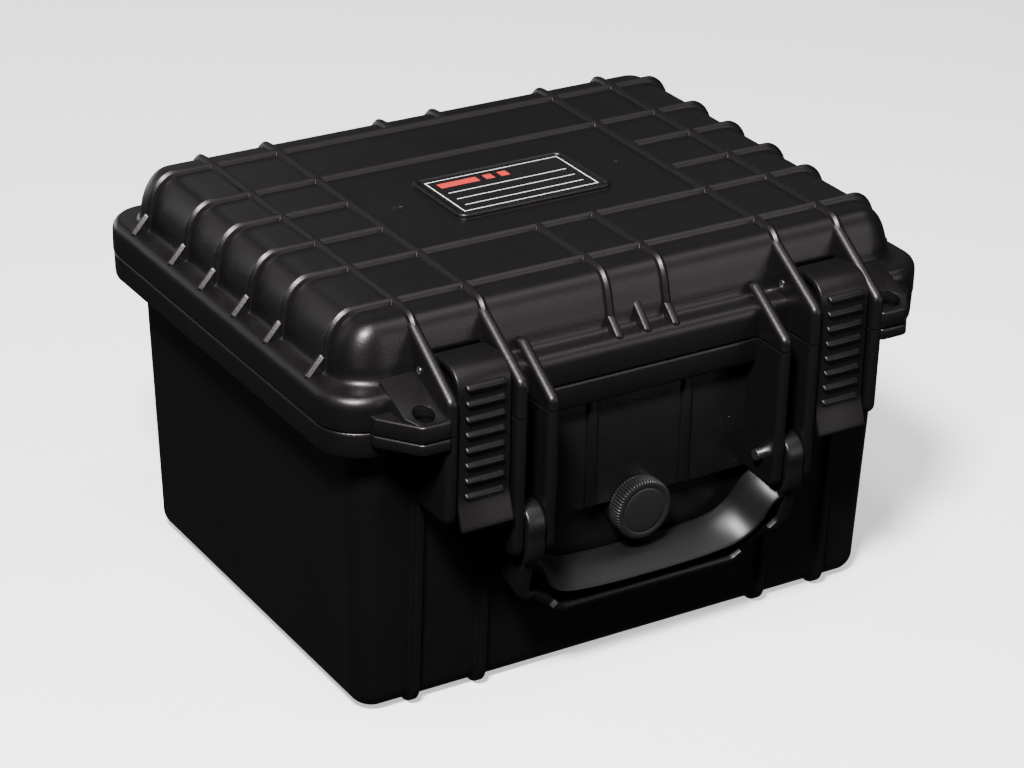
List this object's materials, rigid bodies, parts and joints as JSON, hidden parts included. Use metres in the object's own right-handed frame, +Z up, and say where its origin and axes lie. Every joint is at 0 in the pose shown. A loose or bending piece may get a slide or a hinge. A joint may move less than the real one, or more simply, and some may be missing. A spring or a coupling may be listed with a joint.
{
  "type": "waterproof equipment case",
  "caption": "Small waterproof hard case with a ribbed lid, rear hinges, two front latches, folding handle, pressure valve, padlock tabs and foam liner.",
  "frame": {"origin": "on the ground under the middle of the case, at the level of the feet", "axes": "+Z up, -Y towards the front with the latches and handle, +X to the right of someone facing the front"},
  "size_m": [0.27, 0.243, 0.1671],
  "materials": {
    "shell_plastic": "fine-grained black moulding",
    "latch_plastic": "fine-grained black moulding",
    "handle_plastic": "satin black moulding",
    "valve_plastic": "satin black moulding",
    "plate_plastic": "satin black film",
    "pin_steel": "bright drawn steel",
    "nut_brass": "machined",
    "seal_rubber": "matt black rubber",
    "foam": "open-cell dark grey foam"
  },
  "bodies": {
    "base": {"base_front": "shell_plastic", "base_front_left": "shell_plastic", "base_front_right": "shell_plastic", "base_rear": "shell_plastic", "base_left": "shell_plastic", "base_right": "shell_plastic", "base_floor": "shell_plastic", "base_foam_upper": "foam", "base_foam_lower": "foam", "base_foam_pad": "foam", "hinge_pins": "pin_steel", "handle_pins": "pin_steel", "valve_body": "valve_plastic", "valve_seal": "seal_rubber", "valve_nut": "nut_brass", "valve_washer": "pin_steel"},
    "lid": {"lid_shell": "shell_plastic", "lid_gasket": "seal_rubber", "label_plate": "plate_plastic", "lid_foam": "foam", "latch_pins": "pin_steel"},
    "latch_left": {"latch_left": "latch_plastic"},
    "latch_right": {"latch_right": "latch_plastic"},
    "handle": {"carry_handle": "handle_plastic"},
    "valve": {"valve_knob": "valve_plastic", "knob_seal": "seal_rubber"}
  },
  "joints": [
    {"name": "lid_hinge", "type": "hinge", "parent": "base", "child": "lid", "pos_m": [0, 0.114, 0.1293], "axis": [-1, 0, 0], "range_deg": [0, 105]},
    {"name": "latch_left_pivot", "type": "hinge", "parent": "lid", "child": "latch_left", "pos_m": [-0.08115, -0.0989, 0.1474], "axis": [-1, 0, 0], "range_deg": [0, 65]},
    {"name": "latch_right_pivot", "type": "hinge", "parent": "lid", "child": "latch_right", "pos_m": [0.08115, -0.0989, 0.1474], "axis": [-1, 0, 0], "range_deg": [0, 65]},
    {"name": "handle_pivot", "type": "hinge", "parent": "base", "child": "handle", "pos_m": [0, -0.11, 0.0814], "axis": [-1, 0, 0], "range_deg": [0, 115]},
    {"name": "valve_turn", "type": "hinge", "parent": "base", "child": "valve", "pos_m": [0, -0.1, 0.0665], "axis": [0, -1, 0], "range_deg": [0, 360]}
  ]
}
